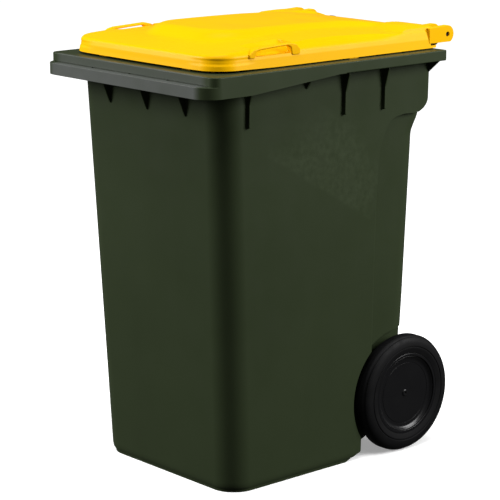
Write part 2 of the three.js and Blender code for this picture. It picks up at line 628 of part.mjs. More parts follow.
class Coil extends THREE.Curve {
  getPoint(t, target = new THREE.Vector3()) {
    const angle = t * LOCK.springTurns * 2 * Math.PI;
    const low = LOCK.collarTo + GAP + LOCK.springWire;
    const high = LOCK.capFrom - GAP - LOCK.springWire;
    return target.set(
      LOCK.x + LOCK.springRadius * Math.cos(angle),
      LOCK.springRadius * Math.sin(angle),
      low + t * (high - low));
  }
}

function lockSpring() {
  const section = new THREE.Shape();
  section.absarc(0, 0, LOCK.springWire, 0, 2 * Math.PI, false);
  const steps = LOCK.springTurns * 10;
  return solid(new THREE.ExtrudeGeometry(section,
    { extrudePath: new Coil(), steps, curveSegments: 3 }));
}

function lockCap() {
  const plug = barZ(LOCK.chamber - GAP, LOCK.x, 0, [LOCK.capFrom, LOCK.towerTop], 20);
  const releaseHole = barZ(1.6, LOCK.x, 0, [LOCK.capFrom - 1, LOCK.towerTop + 1], 12);
  return plug.subtract(releaseHole);
}

function axleSpacer() {
  const from = WELL.halfWidth + GAP;
  const to = HUB.bossInner - GAP;
  const inner = AXLE.radius + GAP;
  return turnedX([[from, inner], [to, inner], [to, 20], [from, 20]], 28);
}

// ---- axle ---------------------------------------------------------------------------------------

function axle() {
  const { radius, halfLength, grooveRadius, grooveFrom, grooveTo } = AXLE;
  const half = [[halfLength, 0], [halfLength, radius - 2], [halfLength - 2, radius],
    [grooveTo, radius], [grooveTo, grooveRadius], [grooveFrom, grooveRadius], [grooveFrom, radius]];
  const mirrored = half.slice().reverse().map(([x, r]) => [-x, r]);
  return turnedX([...half, ...mirrored], 32);
}

// ---- assembly -----------------------------------------------------------------------------------

const bin = new THREE.Group();
bin.position.y = ORIGIN_SHIFT;

function place(parent, name, manifold, look) {
  const mesh = new THREE.Mesh(geometryOf(manifold), look);
  mesh.name = name;
  parent.add(mesh);
  return mesh;
}

place(bin, 'bin_body', binBody(), GREEN);
place(bin, 'chip_nest_plug', chipPlug(), BLACK_PLASTIC);
place(bin, 'lid', lid(), YELLOW);

const axleLine = new THREE.Group();
axleLine.position.set(0, WHEEL.y, WHEEL.z);
bin.add(axleLine);
place(axleLine, 'axle', axle(), STEEL);

for (const side of ['left', 'right']) {
  const turn = side === 'right' ? 0 : Math.PI;

  const hinge = new THREE.Group();
  hinge.position.set(0, HINGE.y, HINGE.z);
  hinge.rotation.z = turn;
  bin.add(hinge);
  place(hinge, `lid_pin_${side}`, lidPin(), BLACK_PLASTIC);

  const wheel = new THREE.Group();
  wheel.rotation.z = turn;
  axleLine.add(wheel);
  place(wheel, `wheel_tyre_${side}`, tyre(), RUBBER);
  place(wheel, `wheel_rim_${side}`, wheelRim(), BLACK_PLASTIC);
  place(wheel, `wheel_bush_${side}`, wheelBush(), NYLON);
  place(wheel, `hub_cover_${side}`, hubCover(), BLACK_PLASTIC);
  place(wheel, `lock_plunger_${side}`, lockPlunger(), STEEL);
  place(wheel, `lock_spring_${side}`, lockSpring(), STEEL);
  place(wheel, `lock_cap_${side}`, lockCap(), BLACK_PLASTIC);
  place(wheel, `axle_spacer_${side}`, axleSpacer(), NYLON);
}

export default bin;
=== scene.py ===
import math

import bmesh
import bpy
from mathutils import Matrix, Vector


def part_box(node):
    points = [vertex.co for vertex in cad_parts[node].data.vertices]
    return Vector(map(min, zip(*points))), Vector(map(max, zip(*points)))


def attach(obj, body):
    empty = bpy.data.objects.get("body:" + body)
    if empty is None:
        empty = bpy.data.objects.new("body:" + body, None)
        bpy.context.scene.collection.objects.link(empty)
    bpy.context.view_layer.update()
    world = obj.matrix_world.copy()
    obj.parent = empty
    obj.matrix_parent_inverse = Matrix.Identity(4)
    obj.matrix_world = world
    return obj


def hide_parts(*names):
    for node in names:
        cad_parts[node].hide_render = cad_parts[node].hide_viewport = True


# The bin's looks. Shapes are drawn in millimetres with Y = 0 at the back edge of the rim, as wide as X,
# and each finished piece is then scaled to metres and moved to where the frame has it.

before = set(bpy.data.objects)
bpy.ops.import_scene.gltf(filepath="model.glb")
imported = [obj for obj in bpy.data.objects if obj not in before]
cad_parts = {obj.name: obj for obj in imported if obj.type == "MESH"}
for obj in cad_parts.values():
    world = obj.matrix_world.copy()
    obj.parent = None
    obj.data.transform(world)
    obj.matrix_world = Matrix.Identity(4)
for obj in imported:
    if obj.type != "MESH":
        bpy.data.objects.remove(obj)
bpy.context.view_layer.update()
MM = 0.001

BODY_LOW, BODY_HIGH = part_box("bin_body")
WHEEL_LOW, WHEEL_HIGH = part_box("wheel_tyre_right")
LIP_DEPTH = 775
RIM_BACK_Y = BODY_LOW.y + LIP_DEPTH * MM

# ---- driving dimensions, in millimetres -----------------------------------------------------------

RIM_TOP = 1020
RIM_HALF_WIDTH = BODY_HIGH.x / MM
RIM_FRONT = -752
RIM_PLATE = 5
RIM_SIDE_BOTTOM = 994
RIM_CORNER = 22
SEAM_DEPTH = 2.5
SEAM_HEIGHT = 2.4
LIP_TOP = 998
LIP_BOTTOM = 970
LIP_CORNER = 48
LIP_TAPER_FRONT = -645
LIP_TAPER_BACK = -362
WALL = 5

BASE_HALF_WIDTH = 249
BASE_FRONT = -652
BODY_CORNER = 62
BODY_BACK_CORNER = 60
UPPER_BACK_CORNER = 40
FLARE_FROM = 808
FLARE_HEIGHT = 60
SIDE_STEP_DEPTH = 13
SIDE_STEP_Y = -190
PLINTH_HEIGHT = 9
PLINTH_INSET = 5
BASE_ROUND_TOP = 26

WHEEL_Y = ((WHEEL_LOW.y + WHEEL_HIGH.y) / 2 - RIM_BACK_Y) / MM
WHEEL_Z = (WHEEL_LOW.z + WHEEL_HIGH.z) / 2 / MM
WHEEL_RADIUS = (WHEEL_HIGH.z - WHEEL_LOW.z) / 2 / MM
WHEEL_INNER = WHEEL_LOW.x / MM
WHEEL_OUTER = WHEEL_HIGH.x / MM
WELL_HALF_WIDTH = 212
WELL_RADIUS = 167
WELL_CEILING = 318
AXLE_RADIUS = 12.5

LID_HALF_WIDTH = 277
LID_FRONT = -719
LID_BACK = 2
LID_BOW = 4
LID_CORNER = 66
LID_BACK_CORNER = 12
LID_BOTTOM = 1023
LID_WALL = 3.5
LID_FRONT_EDGE = 1059
LID_BACK_EDGE = 1069
CROWN_HALF_WIDTH = 141
CROWN_FRONT = -583
CROWN_CORNER = 80

HINGE_Y = 35
HINGE_Z = 1053
LUG_RADIUS = 22
KNUCKLE_RADIUS = 14
PIN_RADIUS = 6
PIN_HOLE = 6.3
LUG_OUTER = (260, 277)
LUG_INNER = (214, 230)
KNUCKLE = (232.3, 257.7)
POD_INNER = 158
POD_TOP = 1083
POD_OUTER_TOP = 1072
POD_TAIL_TO = 205
HANDLE_Y = 31
HANDLE_Z = 1039
HANDLE_RADIUS = 13
EAR = (128, 146)
GAP = 0.3

# ---- mesh helpers ---------------------------------------------------------------------------------


def link(name, mesh):
    obj = bpy.data.objects.new(name, mesh)
    bpy.context.scene.collection.objects.link(obj)
    return obj


def mesh_object(name, points, faces):
    """A closed mesh from points and faces, with its faces turned outwards."""
    mesh = bpy.data.meshes.new(name)
    mesh.from_pydata(points, [], faces)
    work = bmesh.new()
    work.from_mesh(mesh)
    bmesh.ops.recalc_face_normals(work, faces=work.faces)
    work.to_mesh(mesh)
    work.free()
    return link(name, mesh)


def remove(*objects):
    for obj in objects:
        mesh = obj.data
        bpy.data.objects.remove(obj)
        bpy.data.meshes.remove(mesh)


def settle(obj):
    """Turns the object's modifiers into its mesh."""
    graph = bpy.context.evaluated_depsgraph_get()
    mesh = bpy.data.meshes.new_from_object(obj.evaluated_get(graph))
    old = obj.data
    obj.modifiers.clear()
    obj.data = mesh
    bpy.data.meshes.remove(old)
    return obj


def soften(obj, radius, segments=3, angle=30):
    """Rounds the object's edges."""
    bevel = obj.modifiers.new("edges", "BEVEL")
    bevel.width = radius
    bevel.segments = segments
    bevel.limit_method = "ANGLE"
    bevel.angle_limit = math.radians(angle)
    return settle(obj)


def boolean(target, operation, *tools):
    for tool in tools:
        step = target.modifiers.new(operation, "BOOLEAN")
        step.operation = operation
        step.solver = "MANIFOLD"
        step.object = tool
    settle(target)
    remove(*tools)
    return target


def union(target, *others):
    return boolean(target, "UNION", *others)


def cut(target, *others):
    return boolean(target, "DIFFERENCE", *others)


def keep_inside(target, *others):
    return boolean(target, "INTERSECT", *others)


def mirrored(obj):
    """A copy of the object on the other side of the bin."""
    mesh = obj.data.copy()
    mesh.transform(Matrix.Scale(-1, 4, (1, 0, 0)))
    mesh.flip_normals()
    return link(obj.name + "_mirrored", mesh)


def both_sides(obj):
    """The object and its mirror image, which don't touch, as one mesh."""
    other = mirrored(obj)
    work = bmesh.new()
    work.from_mesh(obj.data)
    work.from_mesh(other.data)
    work.to_mesh(obj.data)
    work.free()
    remove(other)
    return obj


def between(low, high, count):
    return [low + (high - low) * i / count for i in range(count + 1)]


def arc(centre_u, centre_v, radius, start, end, count):
    angles = between(math.radians(start), math.radians(end), count)
    return [(centre_u + radius * math.cos(a), centre_v + radius * math.sin(a)) for a in angles]


def fillet(points, radius, count=4):
    """The outline with each corner rounded, by less where its sides are short."""
    rounded = []
    for i, here in enumerate(points):
        corner = Vector(here)
        before = Vector(points[i - 1]) - corner
        after = Vector(points[(i + 1) % len(points)]) - corner
        angle = before.angle(after)
        if angle > math.radians(172) or min(before.length, after.length) < 0.5:
            rounded.append(tuple(corner))
            continue
        reach = min(radius / math.tan(angle / 2), before.length * 0.45, after.length * 0.45)
        start = corner + before.normalized() * reach
        end = corner + after.normalized() * reach
        for t in between(0, 1, count):
            p = start * (1 - t) ** 2 + corner * 2 * t * (1 - t) + end * t * t
            rounded.append(tuple(p))
    return rounded


AXIS_PLACES = {
    "X": lambda u, v, w: (w, u, v),
    "Y": lambda u, v, w: (u, w, v),
    "Z": lambda u, v, w: (u, v, w),
}


def prism(outline, axis, low, high, edge=0, name="prism"):
    """An outline drawn out along an axis: (Y, Z) points along X, (X, Z) along Y and (X, Y) along Z."""
    place = AXIS_PLACES[axis]
    count = len(outline)
    points = [place(u, v, low) for u, v in outline] + [place(u, v, high) for u, v in outline]
    faces = [list(range(count)), list(range(count, 2 * count))]
    faces += [[i, (i + 1) % count, count + (i + 1) % count, count + i] for i in range(count)]
    obj = mesh_object(name, points, faces)
    return soften(obj, edge) if edge else obj


def block(x, y, z, edge=0):
    outline = [(x[0], y[0]), (x[1], y[0]), (x[1], y[1]), (x[0], y[1])]
    return prism(outline, "Z", z[0], z[1], edge)


def bar(radius, x, centre_y, centre_z, edge=0, count=48):
    return prism(arc(centre_y, centre_z, radius, 0, 360 - 360 / count, count - 1), "X", x[0], x[1], edge)


def post(radius, centre_x, centre_y, z, edge=0, count=40):
    return prism(arc(centre_x, centre_y, radius, 0, 360 - 360 / count, count - 1), "Z", z[0], z[1], edge)


def loft(rings, name="loft"):
    """A closed skin over rings of equally many points, capped at both ends."""
    count = len(rings[0])
    points = [p for ring in rings for p in ring]
    faces = [list(range(count)), list(range((len(rings) - 1) * count, len(rings) * count))]
    for level in range(len(rings) - 1):
        low = level * count
        faces += [[low + i, low + (i + 1) % count, low + count + (i + 1) % count, low + count + i]
                  for i in range(count)]
    return mesh_object(name, points, faces)


def turned(profile, count=96, name="turned"):
    """A closed profile of (distance along X, radius), turned about the X axis."""
    points = []
    rows = []
    for x, radius in profile:
        if radius < 1e-6:
            rows.append([len(points)] * count)
            points.append((x, 0, 0))
            continue
        rows.append(list(range(len(points), len(points) + count)))
        points += [(x, radius * math.cos(a), radius * math.sin(a))
                   for a in between(0, 2 * math.pi, count)[:-1]]
    faces = []
    for row, following in zip(rows, rows[1:] + rows[:1]):
        for i in range(count):
            corners = [row[i], row[(i + 1) % count], following[(i + 1) % count], following[i]]
            distinct = list(dict.fromkeys(corners))
            if len(distinct) > 2:
                faces.append(distinct)
    return mesh_object(name, points, faces)


def rounded_outline(half_width, front, back, front_radius, back_radius, count=12):
    right = arc(half_width - front_radius, front + front_radius, front_radius, -90, 0, count)
    right += arc(half_width - back_radius, back - back_radius, back_radius, 0, 90, count)
    left = [(-x, y) for x, y in reversed(right)]
    return right + left


def smooth_step(t):
    c = min(1, max(0, t))
    return c * c * (3 - 2 * c)


def soft_min(a, b, reach):
    """The lower of two heights, with their meeting line rounded over a distance of reach."""
    share = max(reach - abs(a - b), 0) / reach
    return min(a, b) - share * share * reach / 4


def soft_max(a, b, reach):
    return -soft_min(-a, -b, reach)


def along(points, at):
    """Straight-line interpolation in a list of (place, value)."""
    if at <= points[0][0]:
        return points[0][1]
    for (u0, v0), (u1, v1) in zip(points, points[1:]):
        if at <= u1:
            return v0 + (v1 - v0) * (at - u0) / (u1 - u0)
    return points[-1][1]


def flowing(points, at):
    """A smooth curve through a list of (place, value)."""
    if at <= points[0][0]:
        return points[0][1]
    if at >= points[-1][0]:
        return points[-1][1]
    slopes = []
    for i in range(len(points)):
        (u0, v0), (u1, v1) = points[max(0, i - 1)], points[min(len(points) - 1, i + 1)]
        slopes.append((v1 - v0) / (u1 - u0))
    i = max(k for k in range(len(points) - 1) if points[k][0] <= at)
    (u0, v0), (u1, v1) = points[i], points[i + 1]
    span = u1 - u0
    t = (at - u0) / span
    rise = v0 + (v1 - v0) * t * t * (3 - 2 * t)
    return rise + span * t * (1 - t) * (slopes[i] * (1 - t) - slopes[i + 1] * t)


# ---- materials ------------------------------------------------------------------------------------


class Nodes:
    """A short way to write a material's node tree."""

    def __init__(self, name):
        self.material = bpy.data.materials.new(name)
        self.material.use_nodes = True
        self.tree = self.material.node_tree
        self.shader = self.tree.nodes["Principled BSDF"]
        self.place = self.add("ShaderNodeTexCoord").outputs["Object"]

    def add(self, kind, inputs=None, **settings):
        node = self.tree.nodes.new(kind)
        for key, value in settings.items():
            setattr(node, key, value)
        for key, value in (inputs or {}).items():
            socket = node.inputs[key]
            if isinstance(value, bpy.types.NodeSocket):
                self.tree.links.new(value, socket)
            else:
                socket.default_value = value
        return node

    def set(self, **values):
        for key, value in values.items():
            socket = self.shader.inputs[key.replace("_", " ")]
            if isinstance(value, bpy.types.NodeSocket):
                self.tree.links.new(value, socket)
            else:
                socket.default_value = value

    def noise(self, scale, detail=3, roughness=0.5, stretch=None):
        place = self.place
        if stretch:
            place = self.add("ShaderNodeMapping", {"Vector": place, "Scale": stretch}).outputs["Vector"]
        return self.add("ShaderNodeTexNoise", {
            "Vector": place, "Scale": scale, "Detail": detail, "Roughness": roughness}).outputs["Fac"]

    def ramp(self, value, stops, low=0.0, high=1.0):
        """Maps value's range between stops to low and high."""
        return self.add("ShaderNodeMapRange", {
            "Value": value, "From Min": stops[0], "From Max": stops[1], "To Min": low, "To Max": high,
        }).outputs["Result"]

    def mix(self, factor, a, b):
        return self.add("ShaderNodeMix", {0: factor, 6: a, 7: b}, data_type="RGBA").outputs[2]

    def times(self, a, b):
        return self.add("ShaderNodeMath", {0: a, 1: b}, operation="MULTIPLY").outputs[0]

    def plus(self, a, b):
        return self.add("ShaderNodeMath", {0: a, 1: b}, operation="ADD").outputs[0]

    def bump(self, height, strength, distance, normal=None):
        inputs = {"Height": height, "Strength": strength, "Distance": distance}
        if normal is not None:
            inputs["Normal"] = normal
        return self.add("ShaderNodeBump", inputs).outputs["Normal"]


def shade(color, factor):
    return tuple(c * factor for c in color) + (1,)


# Where the lip's painted reflection dies away towards its two ends, in metres from the middle.
LIP_REFLECTION_ENDS = (0.262, 0.282)


def moulded_plastic(name, color, roughness, grain, specular=0.5, mottle=0.10, scuff=0.0, sheen_color=None,
                    painted_lip_reflection=None):
    """Moulded polyethylene: fine spark-eroded grain, slow waviness, faint flow streaks and edge rub.

    The last argument, when given, is a grey tone and the (y, z) beyond which the lip's front is painted with
    it: a painted reflection of the light ahead.
    """
    n = Nodes(name)
    cloud = n.ramp(n.noise(3.2, 4), (0.3, 0.7))
    streak = n.ramp(n.noise(26, 3, stretch=(1, 1, 0.06)), (0.3, 0.7))
    tone = n.mix(cloud, shade(color, 1 - mottle), shade(color, 1 + mottle))
    tone = n.mix(n.times(streak, 0.35), tone, shade(color, 1 + mottle * 0.8))
    speck = n.ramp(n.noise(900, 2), (0.62, 0.75))
    tone = n.mix(n.times(speck, 0.25), tone, shade(color, 1.5))
    edge = n.ramp(n.add("ShaderNodeNewGeometry").outputs["Pointiness"], (0.52, 0.62))
    worn = n.times(edge, n.ramp(n.noise(60, 4), (0.35, 0.7)))
    tone = n.mix(n.times(worn, scuff), tone, sheen_color or shade(color, 1.7))
    # Painted reflection: the lip's front turns grey as if it mirrored the light ahead. It fades out towards
    # the lip's ends and varies in strength in patches.
    if painted_lip_reflection:
        reflection_grey, (lip_y, lip_z) = painted_lip_reflection
        place = n.add("ShaderNodeSeparateXYZ", {"Vector": n.place}).outputs
        ahead = n.ramp(place["Y"], (lip_y, lip_y - 0.02))
        aside = n.add("ShaderNodeMath", {0: place["X"]}, operation="ABSOLUTE").outputs[0]
        ahead = n.times(ahead, n.ramp(aside, LIP_REFLECTION_ENDS, 1.0, 0.0))
        above = n.ramp(place["Z"], (lip_z - 0.006, lip_z))
        patchy = n.ramp(n.noise(18, 4), (0.25, 0.75), 0.75, 1.0)
        tone = n.mix(n.times(n.times(ahead, above), patchy), tone, shade(reflection_grey, 1))
    rough = n.plus(n.ramp(n.noise(14, 4), (0.3, 0.7), roughness - 0.04, roughness + 0.04),
                   n.times(worn, 0.1))
    fine = n.bump(n.noise(1100, 2, 0.6), grain, 0.0002)
    wave = n.bump(n.noise(9, 2), 0.10, 0.004, fine)
    n.set(Base_Color=tone, Roughness=rough, Normal=wave, IOR=1.5)
    n.shader.inputs["Specular IOR Level"].default_value = specular
    return n.material


def rubber(name, color):
    """Solid rubber: matt, with a fine skin and dusty bloom."""
    n = Nodes(name)
    bloom = n.ramp(n.noise(22, 5), (0.4, 0.75))
    tone = n.mix(n.times(bloom, 0.35), shade(color, 1), shade(color, 1.8))
    rough = n.ramp(n.noise(40, 4), (0.3, 0.7), 0.52, 0.66)
    skin = n.bump(n.noise(700, 3, 0.6), 0.25, 0.0003)
    n.set(Base_Color=tone, Roughness=rough, Normal=skin)
    n.shader.inputs["Specular IOR Level"].default_value = 0.12
    return n.material


def zinc_steel(name, color):
    """Zinc-plated steel: cool grey, with drawing marks and slightly cloudy plating."""
    n = Nodes(name)
    cloud = n.ramp(n.noise(55, 4), (0.3, 0.7))
    tone = n.mix(cloud, shade(color, 0.85), shade(color, 1.1))
    lines = n.noise(220, 3, stretch=(0.03, 1, 1))
    rough = n.ramp(lines, (0.3, 0.7), 0.26, 0.42)
    n.set(Base_Color=tone, Roughness=rough, Metallic=1.0, Normal=n.bump(lines, 0.15, 0.0002))
    return n.material


def nylon(name, color):
    n = Nodes(name)
    cloud = n.ramp(n.noise(70, 4), (0.3, 0.7))
    tone = n.mix(cloud, shade(color, 0.92), shade(color, 1.05))
    n.set(Base_Color=tone, Roughness=n.ramp(n.noise(120, 3), (0.3, 0.7), 0.42, 0.5),
          Normal=n.bump(n.noise(500, 2), 0.15, 0.0002))
    n.shader.inputs["Subsurface Weight"].default_value = 0.15
    n.shader.inputs["Subsurface Radius"].default_value = (0.004, 0.003, 0.002)
    return n.material


def floor_material(name):
    n = Nodes(name)
    tone = n.mix(n.ramp(n.noise(2.5, 4), (0.3, 0.7)), (0.86, 0.86, 0.86, 1), (0.90, 0.90, 0.90, 1))
    n.set(Base_Color=tone, Roughness=0.9, Emission_Color=(1, 1, 1, 1), Emission_Strength=0.3)
    n.shader.inputs["Specular IOR Level"].default_value = 0.1
    return n.material


# The grey painted on the lip's front as a reflection of the light ahead.
LIP_REFLECTION_GREY = (0.088, 0.094, 0.088)
GREEN = moulded_plastic("green_polyethylene", (0.0285, 0.0395, 0.0180), 0.40, 0.22, 0.12, 0.06, 0.3,
                        painted_lip_reflection=(LIP_REFLECTION_GREY, (RIM_BACK_Y + (RIM_FRONT + 12) * MM, LIP_BOTTOM * MM)))
YELLOW = moulded_plastic("yellow_polyethylene", (0.88, 0.46, 0.0006), 0.34, 0.10, 0.05, 0.02, 0.12,
                         sheen_color=(0.95, 0.6, 0.04, 1))
BLACK = moulded_plastic("black_polypropylene", (0.0045, 0.0045, 0.005), 0.28, 0.16, 0.30, 0.10, 0.3)
RUBBER = rubber("black_rubber", (0.0035, 0.0035, 0.0038))
STEEL = zinc_steel("zinc_plated_steel", (0.55, 0.56, 0.58))
NYLON = nylon("natural_nylon", (0.68, 0.66, 0.60))

# ---- finished pieces ------------------------------------------------------------------------------


def finished(obj, name, body, material, nodes, sharp=35):
    """Moves a drawn piece into the frame, gives it its looks and hangs it on its body."""
    obj.name = name
    obj.data.name = name
    obj.data.transform(Matrix.Translation((0, RIM_BACK_Y, 0)) @ Matrix.Scale(MM, 4))
    obj.data.shade_smooth()
    obj.data.set_sharp_from_angle(angle=math.radians(sharp))
    weighted = obj.modifiers.new("normals", "WEIGHTED_NORMAL")
    weighted.keep_sharp = True
    weighted.weight = 80
    obj.data.materials.clear()
    obj.data.materials.append(material)
    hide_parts(*nodes)
    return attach(obj, body)


def dressed(node, material):
    """Gives a CAD node that is shown as it is a procedural material."""
    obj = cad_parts[node]
    obj.data.materials.clear()
    obj.data.materials.append(material)
    return obj


# ---- body -----------------------------------------------------------------------------------------


def base_inset(z):
    """How far the walls come in at the foot: a plinth, then a rounded edge up to the wall."""
    if z <= PLINTH_HEIGHT:
        return PLINTH_INSET
    if z >= BASE_ROUND_TOP:
        return 0
    t = (BASE_ROUND_TOP - z) / (BASE_ROUND_TOP - PLINTH_HEIGHT)
    return (PLINTH_INSET - 2) * (1 - math.sqrt(1 - t * t))


def body_half_width(z):
    return BASE_HALF_WIDTH + 0.0235 * z - base_inset(z)


def body_front(z):
    return BASE_FRONT - 0.049 * z + base_inset(z)


def body_low_back(z):
    return -57 + 0.03 * z + 22 * smooth_step((z - FLARE_FROM) / FLARE_HEIGHT)


# The underside of the deep part behind the mouth, seen from the side.
HOOD_CURVE = [(-190, 745), (-186, 785), (-180, 802), (-172, 826), (-162, 845), (-148, 858), (-130, 865),
              (-105, 868), (-75, 867), (-54, 868), (-40, 875), (-28, 884), (-18, 893), (-9, 902), (-3, 917),
              (0, 938)]
FLOOR_RAMP = [(-268, 0), (-238, 14), (-170, 40), (-142, 178), (-52, 196)]


def tub(half_width, front, back, front_radius, back_radius, levels):
    """A rounded box whose width, front and back follow the height."""
    return loft([[(x, y, z) for x, y in rounded_outline(half_width(z), front(z), back(z),
                                                        front_radius, back_radius)] for z in levels])


def body_envelope(inset, top):
    foot = inset
    foot_levels = [foot, BASE_ROUND_TOP] if inset else (
        [0, PLINTH_HEIGHT, PLINTH_HEIGHT + 0.4] + between(PLINTH_HEIGHT + 1.5, BASE_ROUND_TOP, 8))
    main = tub(lambda z: body_half_width(z) - inset, lambda z: body_front(z) + inset,
               lambda z: SIDE_STEP_Y - inset, BODY_CORNER - inset, 7, [*foot_levels, 300, 600, 850, top])
    rear = tub(lambda z: body_half_width(z) - SIDE_STEP_DEPTH - inset, lambda z: SIDE_STEP_Y - 120,
               lambda z: body_low_back(z) - inset, 1, BODY_BACK_CORNER - inset,
               [foot, 400, *between(FLARE_FROM, 902, 14)])
    upper = tub(lambda z: body_half_width(z) - inset, lambda z: SIDE_STEP_Y - 120,
                lambda z: -inset, 1, UPPER_BACK_CORNER - inset, [700, top])
    underside = [(y, z + inset * 1.2) for y, z in HOOD_CURVE]
    hood = prism([(60, 1200), (-400, 1200), (-400, 700), (SIDE_STEP_Y - inset, 700), *underside[:-1],
                  (60, underside[-1][1])], "X", -400, 400)
    return union(main, rear, keep_inside(upper, hood))


def above_floor(inset):
    ramp = [(y - inset * 0.9, z + inset) for y, z in FLOOR_RAMP]
    last_y, last_z = ramp[-1]
    return prism([(-900, inset), *ramp, (last_y + 300, last_z + 3), (last_y + 300, 1300), (-900, 1300)],
                 "X", -400, 400)


def wheel_well(grow):
    inner = WELL_HALF_WIDTH - grow
    round_part = bar(WELL_RADIUS + grow, (inner, 400), WHEEL_Y, WHEEL_Z, count=96)
    behind = block((inner, 400), (WHEEL_Y, 200), (-50, WELL_CEILING + grow))
    below = block((inner, 400), (WHEEL_Y - WELL_RADIUS + 29 - grow, 200), (-50, WHEEL_Z))
    return both_sides(union(round_part, behind, below))


def rim_and_lip():
    def rim_outline(inset):
        return rounded_outline(RIM_HALF_WIDTH - inset, RIM_FRONT + inset, -inset,
                               RIM_CORNER - inset * 0.8, 6 - inset * 0.8, 10)

    def lip_outline(inset, back):
        return rounded_outline(RIM_HALF_WIDTH - inset, -LIP_DEPTH + inset, back, LIP_CORNER - inset, 1, 16)

    upper = prism(rim_outline(0), "Z", RIM_SIDE_BOTTOM, RIM_TOP, edge=2.2)
    lower = prism(lip_outline(0, LIP_TAPER_BACK + 20), "Z", LIP_BOTTOM, LIP_TOP, edge=2.0)
    taper = prism([(-900, LIP_BOTTOM - 40), (60, LIP_BOTTOM - 40), (60, RIM_SIDE_BOTTOM),
                   (LIP_TAPER_BACK, RIM_SIDE_BOTTOM), (LIP_TAPER_FRONT, LIP_BOTTOM - 0.01),
                   (-900, LIP_BOTTOM - 0.01)], "X", -400, 400)
    upper_hollow = prism(rim_outline(RIM_PLATE), "Z", LIP_BOTTOM - 20, RIM_TOP - RIM_PLATE)
    lower_hollow = prism(lip_outline(RIM_PLATE, LIP_TAPER_BACK + 60), "Z",
                         LIP_BOTTOM - 20, LIP_TOP - RIM_PLATE)
    seam_end = RIM_HALF_WIDTH - RIM_CORNER
    seam = block((-seam_end, seam_end), (RIM_FRONT - 1, RIM_FRONT + SEAM_DEPTH),
                 (LIP_TOP, LIP_TOP + SEAM_HEIGHT))
    return cut(union(upper, cut(lower, taper)), upper_hollow, lower_hollow, seam)


RIB = 5
RIB_REACH = 12
FRONT_RIB_FOOT = 896
LONG_RIB_FOOT = 886
SHORT_RIB_FOOT = 955
FRONT_RIB_X = (-141, 0, 141)
LONG_RIB_Y = (-619, -314, -182)
SHORT_RIB_Y = -436


def ribs():
    half = RIB / 2
    wall_y = body_front(940) + 3
    wall_x = body_half_width(930) - 3
    outer_x = RIM_HALF_WIDTH - 3
    rib_x = wall_x + 2 * RIB_REACH
    lip_y = 3 - LIP_DEPTH
    front = [prism(fillet([(wall_y, FRONT_RIB_FOOT), (wall_y, 1016), (lip_y, 994), (lip_y, LIP_BOTTOM + 6),
                           (wall_y - 30, LIP_BOTTOM)], 5), "X", x - half, x + half, edge=1.0)
             for x in FRONT_RIB_X]
    long_ribs = [prism(fillet([(wall_x, LONG_RIB_FOOT), (wall_x + RIB_REACH - 1, LONG_RIB_FOOT + 3),
                               (wall_x + RIB_REACH, 944), (rib_x, 986), (rib_x, 1017), (wall_x, 1017)], 4),
                       "Y", y - half, y + half, edge=1.0)
                 for y in LONG_RIB_Y]
    short_rib = prism(fillet([(wall_x, SHORT_RIB_FOOT), (rib_x, 986), (rib_x, 1017), (wall_x, 1017)], 4),
                      "Y", SHORT_RIB_Y - half, SHORT_RIB_Y + half, edge=1.0)
    end_web = prism([(wall_x - 14, 952), (outer_x - 2, 994), (outer_x - 2, 1017), (wall_x - 14, 1017)],
                    "Y", -24, -19, edge=0.8)
    return front + [both_sides(rib) for rib in (*long_ribs, short_rib, end_web)]


def handle_and_knuckles():
    y, z = HANDLE_Y, HANDLE_Z
    ear = prism(fillet([(-26, 1016), (-4, 1016), (6, 1019), (y + 4, z - 14), (y + 14, z - 6),
                        (y + 15, z + 14),
                        (y + 8, 1064), (y - 4, 1064), (y - 14, z + 12), (-8, 1032)], 5), "X", *EAR, edge=1.5)
    neck = prism([(-40, 1016), (-6, 1016), (4, 1020), (HINGE_Y + 2, HINGE_Z - 13.5),
                  (HINGE_Y - 9, HINGE_Z + 10.5), (-12, 1034)], "X", *KNUCKLE, edge=0.8)
    knuckle = bar(KNUCKLE_RADIUS, KNUCKLE, HINGE_Y, HINGE_Z, edge=0.8)
    grip = bar(HANDLE_RADIUS, (-EAR[0] - 4, EAR[0] + 4), y, z)
    return [both_sides(ear), both_sides(neck), both_sides(knuckle), grip]


def axle_bearers():
    y, z = WHEEL_Y, WHEEL_Z
    outline = fillet([(-150, 190), (-148, 166), (y - 24, z - 16), (y - 12, z - 24), (y + 12, z - 24),
                      (y + 24, z - 12), (y + 27, z + 30), (-58, 200)], 8)
    return [both_sides(prism(outline, "X", centre - 6, centre + 6, edge=1.0)) for centre in (206, 70)]


NEST_X = 214
NEST_Y = -730
NEST_RADIUS = 15
NEST_BOTTOM = 976


def bin_body():
    outer = cut(keep_inside(body_envelope(0, RIM_TOP), above_floor(0)), wheel_well(0))
    inner = cut(keep_inside(body_envelope(WALL, RIM_TOP + 30), above_floor(WALL)), wheel_well(WALL))
    nest = post(NEST_RADIUS + 3, NEST_X, NEST_Y, (NEST_BOTTOM, RIM_TOP - 2), edge=0.8)
    whole = union(outer, rim_and_lip(), *ribs(), *axle_bearers(), nest, *handle_and_knuckles())
    axle_hole = bar(AXLE_RADIUS + GAP, (-240, 240), WHEEL_Y, WHEEL_Z)
    pin_hole = both_sides(bar(PIN_HOLE, (205, 290), HINGE_Y, HINGE_Z))
    nest_hole = post(NEST_RADIUS, NEST_X, NEST_Y, (NEST_BOTTOM - 10, RIM_TOP - 8))
    return cut(whole, inner, axle_hole, pin_hole, nest_hole)


finished(bin_body(), "bin_tub", "bin", GREEN, ["bin_body"])

# ---- lid ------------------------------------------------------------------------------------------

